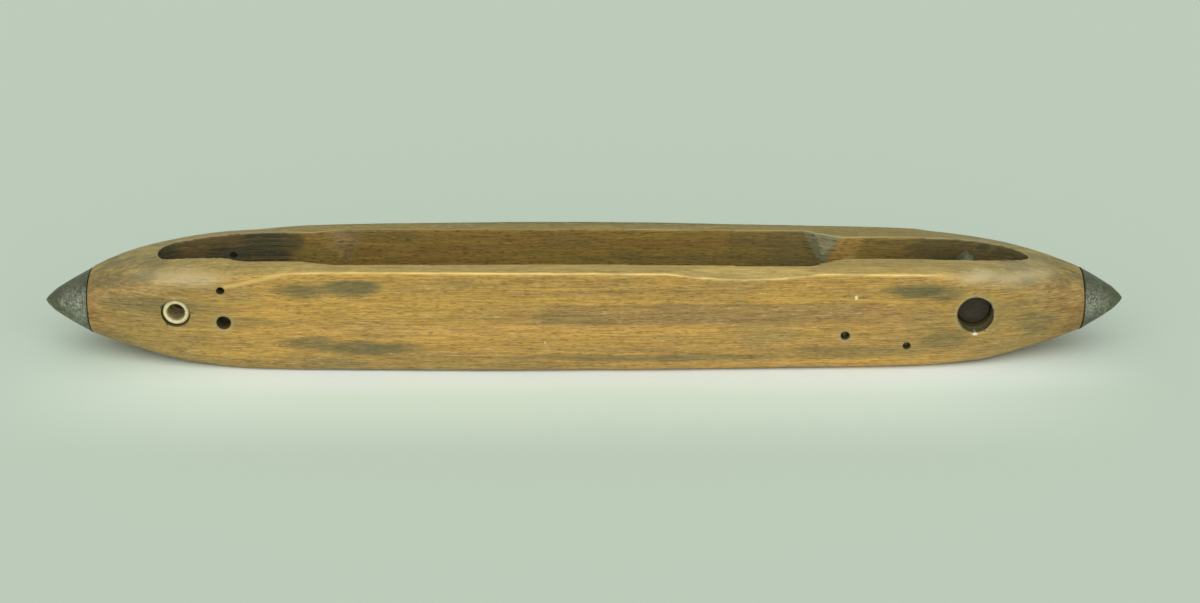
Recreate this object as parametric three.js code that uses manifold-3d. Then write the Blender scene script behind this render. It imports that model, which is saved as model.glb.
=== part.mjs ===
// A wooden weaving shuttle: a boat of beech with steel points, a glazed yarn eye in its front
// wall, and a steel spindle that swings up out of the open pocket to take a new pirn of yarn.
// Millimetres. X runs along the shuttle, the eye is in the wall at -Y, Z is up from the flat base.

import * as THREE from 'three';
import { ConvexGeometry } from 'three/addons/geometries/ConvexGeometry.js';
import { mergeVertices } from 'three/addons/utils/BufferGeometryUtils.js';
import Module from 'manifold-3d';

// Wooden body
const woodLength = 340;
const bodyWidth = 44;
const bodyHeight = 37.4;
const edgeRadius = 1.1;
const tipAxisHeight = 17.3;
const seamRadius = 10.8;
const sectionStep = 5;
const cornerSteps = 9;
const crownSteps = 5;
const crownPower = 3;

// Flat sole that the shuttle slides and rests on, planed a little upwards all round
const soleHalfLength = 118;
const soleHalfWidth = 15;
const soleEndRise = 0.05;
const soleSideRise = 0.1;

// Worn hollow along the front wall's outer top edge, where the hand takes hold
const hollowCentre = 57;
const hollowRadius = 175;
const hollowDepth = 2.4;
const hollowReach = 36;

// Steel points
const rightPointLength = 15;
const leftPointLength = 16.5;
const seamGap = 0.2;
const tangRadius = 3.6;
const tangLength = 13;

// Pocket, seen from above: chamber for the pirn, a throat that narrows to a slot on its left, a
// heel slot on its right
const chamberLeft = -86;
const chamberRight = 82;
const chamberHalfWidth = 14.6;
const chamberCorner = 7.5;
const chamberFloor = 6.5;
const throatLeft = -110;
const throatHalfWidth = 11.9;
const leftSlotEnd = -144.9;
const leftSlotHalfWidth = 7.1;
const leftSlotEndLength = 5.8;
const heelSlotEnd = 151.5;
const heelSlotHalfWidth = 8.7;
const heelSlotTaper = 30;
const heelSlotFloor = 3.6;

// Flat facets cut on the four corners where the chamber narrows
const facetDepth = 9;
const rightFacet = { start: -6.5, end: 6.6, slope: 0.9 };
const leftFacet = { start: -2.5, end: 9, slope: 1.05 };

// Holes in the front wall of the left slot
const eyeX = -137.3;
const eyeHeight = 20.3;
const eyeOuterRadius = 4.6;
const eyeBoreRadius = 2.8;
const eyeFaceInset = 1.2;
const cordHoleX = -121.2;
const cordHoleHeight = 29.5;
const cordHoleRadius = 1.3;
const drawHoleX = -121;
const drawHoleHeight = 17.7;
const drawHoleRadius = 2.4;

// Pins and cross dowel
const pivotX = 108.9;
const pivotHeight = 8.9;
const pivotPinRadius = 1;
const restPinX = 87.9;
const restPinHeight = 13;
const restPinRadius = 1.2;
const pinRecess = 1.6;
const dowelX = 131.6;
const dowelHeight = 20.1;
const dowelRadius = 5.7;
const dowelSeat = 5;

// Spindle and its heel
const heelSideGap = 0.6;
const heelFlat = 5;
const raisedAngle = 80;
const heelLength = 16;
const socketRadius = 4;
const socketLength = 11;
const spindleRadius = 2.9;
const spindleTipRadius = 1.5;
const spindleLength = 152;
const spindleShank = 42;
const gripGroove = { start: 34, length: 62, width: 1.9, depth: 1.7 };
const gripThickness = 0.6;
const gripBow = 3.2;

// Heel spring, a bent steel strip
const springThickness = 1.4;
const springWidth = 10;
const springBendRadius = 3.5;
const springBendHeight = 28.9;

// Clearance round a pin, ring or tang in its hole, and between pieces that only touch
const fitGap = 0.3;

const wasm = await Module();
wasm.setup();

const halfWood = woodLength / 2;
const leftSeam = -halfWood + leftPointLength - rightPointLength;
const above = bodyHeight + 10;

const beech = new THREE.MeshStandardMaterial({ color: 0xa8803f, roughness: 0.6 });
const darkWood = new THREE.MeshStandardMaterial({ color: 0x4a2c1c, roughness: 0.8 });
const tipSteel = new THREE.MeshStandardMaterial({ color: 0x6e7068, roughness: 0.45, metalness: 0.8 });
const brightSteel = new THREE.MeshStandardMaterial({ color: 0x9a9c98, roughness: 0.35, metalness: 0.9 });
const springSteel = new THREE.MeshStandardMaterial({ color: 0x7c7f7e, roughness: 0.4, metalness: 0.9 });
const glazed = new THREE.MeshStandardMaterial({ color: 0xe9e2cd, roughness: 0.15 });

// Turns a closed geometry into a solid that can be cut and joined
function solid(geometry) {
  const bare = geometry.clone();
  bare.deleteAttribute('normal');
  bare.deleteAttribute('uv');
  const merged = mergeVertices(bare, 1e-4);
  return new wasm.Manifold(new wasm.Mesh({
    numProp: 3,
    vertProperties: new Float32Array(merged.attributes.position.array),
    triVerts: new Uint32Array(merged.index.array),
  }));
}

function geometryOf(cut) {
  const mesh = cut.getMesh();
  const geometry = new THREE.BufferGeometry();
  geometry.setAttribute('position', new THREE.BufferAttribute(mesh.vertProperties, 3));
  geometry.setIndex(new THREE.BufferAttribute(mesh.triVerts, 1));
  geometry.computeVertexNormals();
  return geometry;
}

// Upright prism over an outline drawn on the base plane
function prism(shape, bottom, top, curveSegments = 16) {
  const options = { depth: top - bottom, bevelEnabled: false, curveSegments };
  return new THREE.ExtrudeGeometry(shape, options).translate(0, 0, bottom);
}

// Plate with its outline in the XZ plane and its thickness centred on y = 0
function sidePlate(shape, thickness, options = {}) {
  const settings = { depth: thickness, bevelEnabled: false, curveSegments: 16, ...options };
  const bevel = settings.bevelEnabled ? settings.bevelThickness : 0;
  settings.depth = thickness - 2 * bevel;
  return new THREE.ExtrudeGeometry(shape, settings)
    .translate(0, 0, bevel - thickness / 2)
    .rotateX(Math.PI / 2);
}

// Round bar along Y through a point of the XZ plane
function crossBar(radius, x, z, from, to, segments = 24) {
  return new THREE.CylinderGeometry(radius, radius, to - from, segments)
    .translate(x, (from + to) / 2, z);
}

// Turned shape about the X axis, from [distance along, radius] points
function turned(points, segments = 40) {
  const profile = points.map(([along, radius]) => new THREE.Vector2(radius, along));
  return new THREE.LatheGeometry(profile, segments).rotateZ(-Math.PI / 2);
}

// Value that follows a smooth line drawn through [place along the shuttle, value] points
function lineThrough(points) {
  const line = new THREE.SplineCurve(points.map(([x, value]) => new THREE.Vector2(x, value)));
  const steps = line.getPoints(points.length * 24);
  return (x) => {
    const after = Math.max(1, steps.findIndex((point) => point.x >= x - 1e-9));
    const [from, to] = [steps[after - 1], steps[after]];
    return THREE.MathUtils.mapLinear(x, from.x, to.x, from.y, to.y);
  };
}

// Half the width at a distance from the middle, the same towards both points
const halfWidthLine = lineThrough([
  [0, bodyWidth / 2],
  [20, bodyWidth / 2],
  [halfWood - 100, bodyWidth / 2 - 1.1],
  [halfWood - 66, bodyWidth / 2 - 1.7],
  [halfWood - 48, bodyWidth / 2 - 2.6],
  [halfWood - 30, bodyWidth / 2 - 4.5],
  [halfWood - 12, seamRadius + 3.4],
  [halfWood, seamRadius],
]);

// Height of the top along its outer edges
const edgeHeightLine = lineThrough([
  [-halfWood, tipAxisHeight + seamRadius],
  [-halfWood + 8, bodyHeight - 6.7],
  [-halfWood + 20, bodyHeight - 4.45],
  [-halfWood + 40, bodyHeight - 3.05],
  [-halfWood + 56, bodyHeight - 2.45],
  [-halfWood + 66, bodyHeight - 1.5],
  [-halfWood + 82, bodyHeight - 0.65],
  [-60, bodyHeight - 0.4],
  [0, bodyHeight - 0.4],
  [40, bodyHeight - 0.9],
  [halfWood - 66, bodyHeight - 2],
  [halfWood - 48, bodyHeight - 2.9],
  [halfWood - 30, bodyHeight - 4],
  [halfWood - 18, bodyHeight - 5.5],
  [halfWood - 8, bodyHeight - 7.3],
  [halfWood, tipAxisHeight + seamRadius],
]);

// Rise of the top from its outer edges to the middle of the shuttle
const crownLine = lineThrough([
  [-halfWood, 0],
  [-halfWood + 24, 1.7],
  [-halfWood + 48, 3.2],
  [-halfWood + 66, 1.8],
  [-halfWood + 90, 0.1],
  [0, 0],
  [50, 0.2],
  [halfWood - 62, 1],
  [halfWood - 45, 1.6],
  [halfWood - 22, 1.2],
  [halfWood, 0],
]);

// Radius of the top corners at a distance from the middle: sharp along the pocket, and the whole
// section at the seam with the steel point
const topRadiusLine = lineThrough([
  [0, edgeRadius],
  [halfWood - 62, edgeRadius],
  [halfWood - 50, edgeRadius + 1.8],
  [halfWood - 30, edgeRadius + 5.8],
  [halfWood - 10, seamRadius - 0.7],
  [halfWood, seamRadius],
]);

// Radius of the bottom corners, worn rounder to the right of the eye's end
const baseRadiusLine = lineThrough([
  [-halfWood, seamRadius],
  [-halfWood + 14, seamRadius - 0.9],
  [-halfWood + 38, 6.3],
  [-halfWood + 56, 3],
  [-halfWood + 90, 1.1],
  [-40, 1.7],
  [0, 3],
  [60, 3.3],
  [halfWood - 60, 4.1],
  [halfWood - 38, 6.4],
  [halfWood - 14, seamRadius - 0.9],
  [halfWood, seamRadius],
]);

// Height of the base over the surface that the shuttle lies on
const baseLine = lineThrough([
  [0, 0],
  [halfWood - 48, 0],
  [halfWood - 30, 0.8],
  [halfWood - 12, 3.9],
  [halfWood, tipAxisHeight - seamRadius],
]);

function halfWidthAt(x) {
  return Math.min(bodyWidth / 2, halfWidthLine(Math.abs(x)));
}

// Height of the top of the wood over a point of the base plane, inside the rounded edges
function deckHeight(x, y = 0) {
  const outward = Math.min(1, Math.abs(y) / halfWidthAt(x));
  const height = edgeHeightLine(x) + crownLine(x) * (1 - outward ** crownPower);
  return Math.min(bodyHeight, height);
}

// Half section across the shuttle, from the middle of the base round the +Y side to the middle
// of the top
function halfSection(x) {
  const halfWidth = halfWidthAt(x);
  const base = Math.max(0, baseLine(Math.abs(x)));
  const topRadius = Math.min(topRadiusLine(Math.abs(x)), halfWidth - 0.01);
  const baseRadius = Math.min(baseRadiusLine(x), halfWidth - 0.01);
  const points = [[0, base]];
  for (let step = 0; step <= cornerSteps; step += 1) {
    const angle = (Math.PI / 2) * (step / cornerSteps);
    points.push([
      halfWidth - baseRadius * (1 - Math.sin(angle)),
      base + baseRadius * (1 - Math.cos(angle)),
    ]);
  }
  for (let step = 0; step <= cornerSteps; step += 1) {
    const angle = (Math.PI / 2) * (step / cornerSteps);
    const y = halfWidth - topRadius * (1 - Math.cos(angle));
    points.push([y, deckHeight(x, y) - topRadius * (1 - Math.sin(angle))]);
  }
  for (let step = 1; step <= crownSteps; step += 1) {
    const y = (halfWidth - topRadius) * (1 - step / crownSteps);
    points.push([y, deckHeight(x, y)]);
  }
  return points;
}

// The shuttle's outer shape, lofted through sections from end to end and closed at both seams
function outerShape() {
  const length = halfWood - leftSeam;
  const count = Math.round(length / sectionStep);
  const positions = [];
  const index = [];
  let ring = 0;
  for (let station = 0; station <= count; station += 1) {
    const x = leftSeam + (length * station) / count;
    const half = halfSection(x);
    const mirrored = half.slice(1, -1).reverse().map(([y, z]) => [-y, z]);
    const section = [...half, ...mirrored];
    ring = section.length;
    section.forEach(([y, z]) => positions.push(x, y, z));
  }
  for (let station = 0; station < count; station += 1) {
    for (let point = 0; point < ring; point += 1) {
      const next = (point + 1) % ring;
      const here = station * ring;
      const there = here + ring;
      index.push(here + point, here + next, there + point);
      index.push(here + next, there + next, there + point);
    }
  }
  for (let point = 1; point < ring - 1; point += 1) {
    const last = count * ring;
    index.push(0, point + 1, point);
    index.push(last, last + point, last + point + 1);
  }
  const geometry = new THREE.BufferGeometry();
  geometry.setAttribute('position', new THREE.Float32BufferAttribute(positions, 3));
  geometry.setIndex(index);
  return solid(geometry);
}

// Space over the planed sole: a flat rectangle whose four sides rise gently outwards
function soleSpace() {
  const points = [];
  for (const height of [0, above]) {
    const x = soleHalfLength + height / soleEndRise;
    const y = soleHalfWidth + height / soleSideRise;
    for (const [endwards, sidewards] of [[-1, -1], [1, -1], [1, 1], [-1, 1]]) {
      points.push(new THREE.Vector3(endwards * x, sidewards * y, height));
    }
  }
  return solid(new ConvexGeometry(points));
}

// Throat and left slot in one outline: the slot widens smoothly from its blunt round end
function leftSlotShape() {
  const centre = leftSlotEnd + leftSlotEndLength;
  const side = [
    [centre, leftSlotHalfWidth],
    [centre + 8, leftSlotHalfWidth + 1.3],
    [centre + 18, throatHalfWidth - 2],
    [throatLeft - 5, throatHalfWidth - 0.4],
    [throatLeft, throatHalfWidth],
  ];
  const inwards = side.slice(0, -1).reverse().map(([x, y]) => new THREE.Vector2(x, y));
  const outwards = side.slice(1).map(([x, y]) => new THREE.Vector2(x, -y));
  const shape = new THREE.Shape();
  shape.moveTo(chamberLeft + 10, throatHalfWidth);
  shape.lineTo(throatLeft, throatHalfWidth);
  shape.splineThru(inwards);
  shape.absellipse(centre, 0, leftSlotEndLength, leftSlotHalfWidth, Math.PI / 2, Math.PI * 1.5);
  shape.splineThru(outwards);
  shape.lineTo(chamberLeft + 10, -throatHalfWidth);
  return shape;
}

// Heel slot, whose far end narrows as half an ellipse
function heelSlotShape() {
  const centre = heelSlotEnd - heelSlotTaper;
  const shape = new THREE.Shape();
  shape.moveTo(chamberRight - chamberCorner, -heelSlotHalfWidth);
  shape.lineTo(centre, -heelSlotHalfWidth);
  shape.absellipse(centre, 0, heelSlotTaper, heelSlotHalfWidth, -Math.PI / 2, Math.PI / 2);
  shape.lineTo(chamberRight - chamberCorner, heelSlotHalfWidth);
  return shape;
}

function roundedRectangle(left, right, halfWidth, corner) {
  const shape = new THREE.Shape();
  shape.moveTo(left + corner, -halfWidth);
  shape.lineTo(right - corner, -halfWidth);
  shape.absarc(right - corner, -halfWidth + corner, corner, -Math.PI / 2, 0);
  shape.absarc(right - corner, halfWidth - corner, corner, 0, Math.PI / 2);
  shape.lineTo(left + corner, halfWidth);
  shape.absarc(left + corner, halfWidth - corner, corner, Math.PI / 2, Math.PI);
  shape.absarc(left + corner, -halfWidth + corner, corner, Math.PI, Math.PI * 1.5);
  return shape;
}

// Wedge that takes the flat facet off one corner of the chamber. outward is the way to the
// nearer point of the shuttle and side the wall it lies on
function facetCutter(facet, chamberEnd, narrowHalfWidth, outward, side) {
  const points = [];
  for (const depth of [-2, facetDepth + 3]) {
    const shift = -facet.slope * depth;
    const z = deckHeight(chamberEnd) - depth;
    const startX = chamberEnd + outward * (facet.start + shift);
    const endX = chamberEnd + outward * (facet.end + shift);
    const insideX = chamberEnd - outward * 30;
    points.push(new THREE.Vector3(startX, side * chamberHalfWidth, z));
    points.push(new THREE.Vector3(endX, side * narrowHalfWidth, z));
    points.push(new THREE.Vector3(endX, 0, z));
    points.push(new THREE.Vector3(insideX, 0, z));
    points.push(new THREE.Vector3(insideX, side * chamberHalfWidth, z));
  }
  return solid(new ConvexGeometry(points));
}

function pocket() {
  const chamberShape = roundedRectangle(chamberLeft, chamberRight, chamberHalfWidth, chamberCorner);
  let cut = solid(prism(chamberShape, chamberFloor, above))
    .add(solid(prism(leftSlotShape(), chamberFloor, above)))
    .add(solid(prism(heelSlotShape(), heelSlotFloor, above)));
  for (const side of [-1, 1]) {
    cut = cut
      .add(facetCutter(rightFacet, chamberRight, heelSlotHalfWidth, 1, side))
      .add(facetCutter(leftFacet, chamberLeft, throatHalfWidth, -1, side));
  }
  return cut;
}

// Shallow hollow that deepens from the chamber's rim to the outer edge of the front wall
function handHollow() {
  const shape = new THREE.Shape();
  const half = Math.asin(hollowReach / hollowRadius);
  shape.absarc(0, hollowRadius, hollowRadius, -Math.PI / 2 - half, -Math.PI / 2 + half);
  const wallWidth = halfWidthAt(hollowCentre) - chamberHalfWidth;
  const reach = wallWidth + 6;
  const plate = sidePlate(shape, reach, { curveSegments: 24 })
    .translate(0, -reach / 2, 0)
    .rotateX(Math.atan(hollowDepth / wallWidth))
    .translate(hollowCentre, -chamberHalfWidth, deckHeight(hollowCentre, chamberHalfWidth));
  return solid(plate);
}

function bodyGeometry() {
  let body = outerShape().intersect(soleSpace()).subtract(pocket()).subtract(handHollow());
  const through = bodyWidth / 2 + 5;
  const bores = [
    crossBar(eyeOuterRadius + fitGap, eyeX, eyeHeight, -through, 0, 40),
    crossBar(cordHoleRadius, cordHoleX, cordHoleHeight, -through, through, 20),
    crossBar(drawHoleRadius, drawHoleX, drawHoleHeight, -through, 0, 28),
    crossBar(pivotPinRadius + fitGap, pivotX, pivotHeight, -through, through),
    crossBar(restPinRadius + fitGap, restPinX, restPinHeight, -through, through),
    crossBar(dowelRadius + fitGap, dowelX, dowelHeight, -through, through, 40),
  ];
  for (const seam of [leftSeam, halfWood]) {
    const depth = tangLength + 1;
    const bore = new THREE.CylinderGeometry(tangRadius + fitGap, tangRadius + fitGap, depth + 5, 32);
    bores.push(bore.rotateZ(Math.PI / 2)
      .translate(seam - Math.sign(seam) * (depth / 2 - 2.5), 0, tipAxisHeight));
  }
  for (const bore of bores) {
    body = body.subtract(solid(bore));
  }
  return geometryOf(body);
}

// Steel point with its tang, from the tang's inner end to the sharp end at +X
function pointGeometry(length, radius) {
  return turned([
    [-tangLength, 0],
    [-tangLength, tangRadius - 0.5],
    [-tangLength + 1.5, tangRadius],
    [seamGap, tangRadius],
    [seamGap, radius],
    [length * 0.13, radius * 0.9],
    [length * 0.4, radius * 0.685],
    [length * 0.67, radius * 0.45],
    [length * 0.8, radius * 0.32],
    [length * 0.93, radius * 0.145],
    [length - 0.3, 0.6],
    [length, 0],
  ]);
}

// Glazed ring with rounded lips, along Y from the front surface to the slot
function eyeGeometry() {
  const lip = (eyeOuterRadius - eyeBoreRadius) / 2;
  const middle = (eyeOuterRadius + eyeBoreRadius) / 2;
  const front = halfWidthAt(eyeX) - eyeFaceInset;
  const back = leftSlotHalfWidth;
  const profile = [];
  for (let step = 0; step <= 6; step += 1) {
    const angle = (Math.PI * step) / 6;
    profile.push(new THREE.Vector2(middle - lip * Math.cos(angle), front - lip + lip * Math.sin(angle)));
  }
  profile.push(new THREE.Vector2(eyeOuterRadius, back + 0.2));
  profile.push(new THREE.Vector2(eyeOuterRadius - 0.6, back));
  profile.push(new THREE.Vector2(eyeBoreRadius + 0.6, back));
  profile.push(new THREE.Vector2(eyeBoreRadius, back + 0.6));
  profile.push(profile[0].clone());
  return new THREE.LatheGeometry(profile.reverse(), 40).rotateX(Math.PI)
    .translate(eyeX, 0, eyeHeight);
}

function pinGeometry(radius, x, z) {
  const reach = halfWidthAt(x) - pinRecess;
  return crossBar(radius, x, z, -reach, reach);
}

function dowelGeometry() {
  const reach = heelSlotHalfWidth + dowelSeat;
  return crossBar(dowelRadius, dowelX, dowelHeight, -reach, reach, 40);
}

const socketHeight = restPinHeight + restPinRadius + fitGap + socketRadius - pivotHeight;
const socketEnd = -heelLength + 2;
const spindleRoot = socketEnd - fitGap;

// Side outline of the heel about its pivot. One flat holds the spindle down on the heel spring,
// the other holds it raised
function heelOutline() {
  const raised = THREE.MathUtils.degToRad(raisedAngle);
  const normal = new THREE.Vector2(Math.cos(raised), Math.sin(raised));
  const along = new THREE.Vector2(-normal.y, normal.x);
  const onFlat = (s) => normal.clone().multiplyScalar(heelFlat).addScaledVector(along, s);
  const corner = -heelFlat * Math.tan(raised / 2);
  const top = socketHeight + socketRadius;
  const shape = new THREE.Shape();
  shape.moveTo(heelFlat, 0);
  shape.lineTo(heelFlat, -corner - 0.8);
  shape.lineTo(onFlat(corner + 0.8).x, onFlat(corner + 0.8).y);
  shape.lineTo(onFlat(4).x, onFlat(4).y);
  shape.quadraticCurveTo(-heelLength / 2, top, -heelLength + 2, top);
  shape.lineTo(-heelLength, top);
  shape.lineTo(-heelLength, socketHeight - socketRadius - 0.4);
  shape.quadraticCurveTo(-heelLength / 2, 0, -heelFlat * 0.8, -heelFlat * 0.6);
  shape.absarc(0, 0, heelFlat, Math.PI * 1.2, Math.PI * 2);
  return shape;
}

function heelGeometry() {
  const width = 2 * (heelSlotHalfWidth - heelSideGap);
  const plate = solid(sidePlate(heelOutline(), width, { curveSegments: 8 }));
  const socket = new THREE.CylinderGeometry(socketRadius, socketRadius, socketLength + 3, 32)
    .rotateZ(Math.PI / 2)
    .translate(-heelLength - (socketLength - 3) / 2, 0, socketHeight);
  const boreDepth = socketLength + 4;
  const bore = new THREE.CylinderGeometry(spindleRadius + fitGap, spindleRadius + fitGap, boreDepth, 32)
    .rotateZ(Math.PI / 2)
    .translate(socketEnd - boreDepth / 2, 0, socketHeight);
  const pinBore = crossBar(pivotPinRadius + fitGap, 0, 0, -width, width);
  return geometryOf(plate.add(solid(socket)).subtract(solid(bore)).subtract(solid(pinBore)));
}

// Tapered round spindle with a groove in its top for the grip spring
function spindleGeometry() {
  const rod = solid(turned([
    [-spindleLength, 0],
    [-spindleLength + 0.4, spindleTipRadius * 0.6],
    [-spindleLength + 1.4, spindleTipRadius],
    [-spindleShank, spindleRadius],
    [-0.6, spindleRadius],
    [0, spindleRadius - 0.6],
    [0, 0],
  ], 32));
  const { start, length, width, depth } = gripGroove;
  const groove = new THREE.BoxGeometry(length, width, 10)
    .translate(-start - length / 2, 0, spindleRadius - depth + 5);
  return geometryOf(rod.subtract(solid(groove)))
    .translate(spindleRoot, 0, socketHeight);
}

// Thin steel strip bowed up out of the spindle's groove, so that a pirn grips on it
function gripGeometry() {
  const { start, length, width, depth } = gripGroove;
  const half = length / 2 - 1;
  const floor = spindleRadius - depth + fitGap;
  const shape = new THREE.Shape();
  shape.moveTo(-half, floor);
  shape.quadraticCurveTo(0, floor + 2 * gripBow, half, floor);
  shape.lineTo(half, floor + gripThickness);
  shape.quadraticCurveTo(0, floor + 2 * gripBow + gripThickness, -half, floor + gripThickness);
  return sidePlate(shape, width - 2 * fitGap, { curveSegments: 12 })
    .translate(spindleRoot - start - length / 2, 0, socketHeight);
}

// Middle line of the heel spring: up from the heel's flat, over the bend and down round the dowel
function springLine() {
  const standing = pivotX + heelFlat + fitGap + springThickness / 2;
  const clear = dowelRadius + fitGap + springThickness / 2;
  const bend = dowelX - 0.6;
  const points = [
    [standing, heelSlotFloor + 1.1],
    [standing, pivotHeight + 2.6],
    [standing + 1.8, pivotHeight + 6.8],
    [standing + 6, pivotHeight + 11.8],
    [bend - springBendRadius - 2.6, springBendHeight - 4.6],
    [bend - springBendRadius, springBendHeight],
    [bend, springBendHeight + springBendRadius],
    [bend + springBendRadius, springBendHeight],
    [dowelX + clear * 0.8, dowelHeight + clear * 0.8],
    [dowelX + clear + 0.3, dowelHeight],
    [dowelX + clear * 0.75, dowelHeight - clear * 0.8],
    [dowelX + 1, dowelHeight - clear - 0.5],
  ];
  return new THREE.SplineCurve(points.map(([x, z]) => new THREE.Vector2(x, z)));
}

function springGeometry() {
  const steps = 44;
  const line = springLine();
  const sides = [[], []];
  for (let step = 0; step <= steps; step += 1) {
    const at = line.getPoint(step / steps);
    const tangent = line.getTangent(step / steps);
    const across = new THREE.Vector2(-tangent.y, tangent.x).multiplyScalar(springThickness / 2);
    sides[0].push(at.clone().add(across));
    sides[1].push(at.clone().sub(across));
  }
  const shape = new THREE.Shape([...sides[0], ...sides[1].reverse()]);
  return sidePlate(shape, springWidth);
}

function piece(name, geometry, material, parent) {
  const mesh = new THREE.Mesh(geometry, material);
  mesh.name = name;
  parent.add(mesh);
  return mesh;
}

const shuttle = new THREE.Group();
piece('shuttle_body', bodyGeometry(), beech, shuttle);

const rightShape = pointGeometry(rightPointLength, halfWidthAt(halfWood));
const rightPoint = piece('right_tip', rightShape, tipSteel, shuttle);
rightPoint.position.set(halfWood, 0, tipAxisHeight);
const leftShape = pointGeometry(leftPointLength, halfWidthAt(leftSeam));
const leftPoint = piece('left_tip', leftShape, tipSteel, shuttle);
leftPoint.position.set(leftSeam, 0, tipAxisHeight);
leftPoint.rotation.z = Math.PI;

piece('yarn_eye', eyeGeometry(), glazed, shuttle);
piece('rest_pin', pinGeometry(restPinRadius, restPinX, restPinHeight), brightSteel, shuttle);
piece('pivot_pin', pinGeometry(pivotPinRadius, pivotX, pivotHeight), brightSteel, shuttle);
piece('spring_dowel', dowelGeometry(), darkWood, shuttle);
piece('heel_spring', springGeometry(), springSteel, shuttle);

const swing = new THREE.Group();
swing.position.set(pivotX, 0, pivotHeight);
shuttle.add(swing);
piece('spindle_heel', heelGeometry(), tipSteel, swing);
piece('spindle', spindleGeometry(), brightSteel, swing);
piece('grip_spring', gripGeometry(), springSteel, swing);

export default shuttle;
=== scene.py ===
import random
from math import cos, hypot, pi, radians, sin

import bmesh
import bpy
import numpy as np
from mathutils import Matrix, Vector, kdtree, noise
from mathutils.bvhtree import BVHTree


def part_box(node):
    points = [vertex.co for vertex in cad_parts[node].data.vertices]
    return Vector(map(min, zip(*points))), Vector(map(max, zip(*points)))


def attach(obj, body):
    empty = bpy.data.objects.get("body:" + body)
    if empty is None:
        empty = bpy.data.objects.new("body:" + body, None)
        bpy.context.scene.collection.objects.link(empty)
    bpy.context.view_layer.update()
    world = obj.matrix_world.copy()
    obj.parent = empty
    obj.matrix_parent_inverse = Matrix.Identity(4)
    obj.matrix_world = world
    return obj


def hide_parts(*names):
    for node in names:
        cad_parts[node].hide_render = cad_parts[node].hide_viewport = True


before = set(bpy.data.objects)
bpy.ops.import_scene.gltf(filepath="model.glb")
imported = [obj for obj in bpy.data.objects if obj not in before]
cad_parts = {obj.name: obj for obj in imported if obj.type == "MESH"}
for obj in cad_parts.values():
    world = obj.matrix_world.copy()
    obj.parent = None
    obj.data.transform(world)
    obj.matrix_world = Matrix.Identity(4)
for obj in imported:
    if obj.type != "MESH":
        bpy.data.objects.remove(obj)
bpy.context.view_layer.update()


# Camera. It looks down at the middle of the shuttle from three quarters of a metre away, a little
# turned in its mount, as it was for the photograph.
camera_tilt = radians(25.5)
camera_roll = 0.0018
camera_distance = 0.740
camera_target = Vector((0.00546, 0, 0.0162))

camera = bpy.data.objects.new("Camera", bpy.data.cameras.new("Camera"))
bpy.context.scene.collection.objects.link(camera)
camera.data.sensor_width = 36
camera.data.lens = 64.47
back_off = Vector((0, -cos(camera_tilt), sin(camera_tilt))) * camera_distance
turn = Matrix.Rotation(pi / 2 - camera_tilt, 4, "X") @ Matrix.Rotation(-camera_roll, 4, "Z")
camera.matrix_world = Matrix.Translation(camera_target + back_off) @ turn
bpy.context.scene.camera = camera


# Wooden body. One bar of beech, turned at both ends, with the pocket for the yarn cut into its top
# and holes bored through its walls. Years of use have rounded its edges and left small knocks.
millimetre = 0.001
near_wall = -1
far_wall = 1
bore_clearance = 0.3 * millimetre
bore_lip = 0.25 * millimetre
bore_steps = 48
bit_past_wall = 4 * millimetre
bit_end_from_middle = 3 * millimetre
clear_of_walls = 100 * millimetre
on_bore_wall = 0.02 * millimetre
cord_hole = (-121.2 * millimetre, 29.5 * millimetre, 1.3 * millimetre)
draw_hole = (-121.0 * millimetre, 17.7 * millimetre, 2.4 * millimetre)
worn_lip_depth = 2.5 * millimetre
merge_distance = 0.002 * millimetre
pole_merge_distance = 0.001 * millimetre
carving_step = 0.45 * millimetre
edge_easing_passes = 7
rim_easing_passes = 1
rim_reach_passes = 5
wear_reach_passes = 18
wear_full_depth = 0.16 * millimetre
hand_wobble = 0.05 * millimetre
wobbles_a_metre = 90
knocks = 45
knocked_where_worn_past = 0.35
least_and_most_knock_reach = (0.7, 2.0)
least_and_most_knock_depth = (0.04, 0.14)
body_triangles = 185000
pocket_floor_below = 15 * millimetre
# Where the brow lies: a band that is pale with wear and carries a painted highlight of the overhead
# lamp.
brow_out_from_middle = 15 * millimetre
brow_slope = 0.70
brow_slope_spread = 0.19


def as_piece(name, shape):
    """Makes a bmesh an object of its own, at the origin."""
    mesh = bpy.data.meshes.new(name)
    shape.to_mesh(mesh)
    shape.free()
    made = bpy.data.objects.new(name, mesh)
    bpy.context.scene.collection.objects.link(made)
    return made


def settle(made):
    """Turns a piece's modifiers into its mesh."""
    seen = made.evaluated_get(bpy.context.evaluated_depsgraph_get())
    mesh = bpy.data.meshes.new_from_object(seen)
    made.modifiers.clear()
    made.data = mesh


def smoothly(made, sharp_above):
    """Shades a piece smooth, but for the edges that are sharper than an angle in degrees."""
    made.data.shade_smooth()
    made.data.set_sharp_from_angle(angle=radians(sharp_above))


def places(mesh):
    """The positions of a mesh's vertices, one row each."""
    flat = np.empty(len(mesh.vertices) * 3, np.float32)
    mesh.vertices.foreach_get("co", flat)
    return flat.reshape(-1, 3)


def normals(mesh):
    """The directions in which a mesh's vertices face, one row each."""
    flat = np.empty(len(mesh.vertices) * 3, np.float32)
    mesh.vertex_normals.foreach_get("vector", flat)
    return flat.reshape(-1, 3)


def put(mesh, rows):
    """Moves a mesh's vertices to new positions."""
    mesh.vertices.foreach_set("co", rows.astype(np.float32).ravel())
    mesh.update()


def note(mesh, name, values):
    """Keeps one number for each vertex, for the materials to read."""
    kept = mesh.attributes.new(name, "FLOAT", "POINT")
    kept.data.foreach_set("value", values.astype(np.float32))


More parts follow.
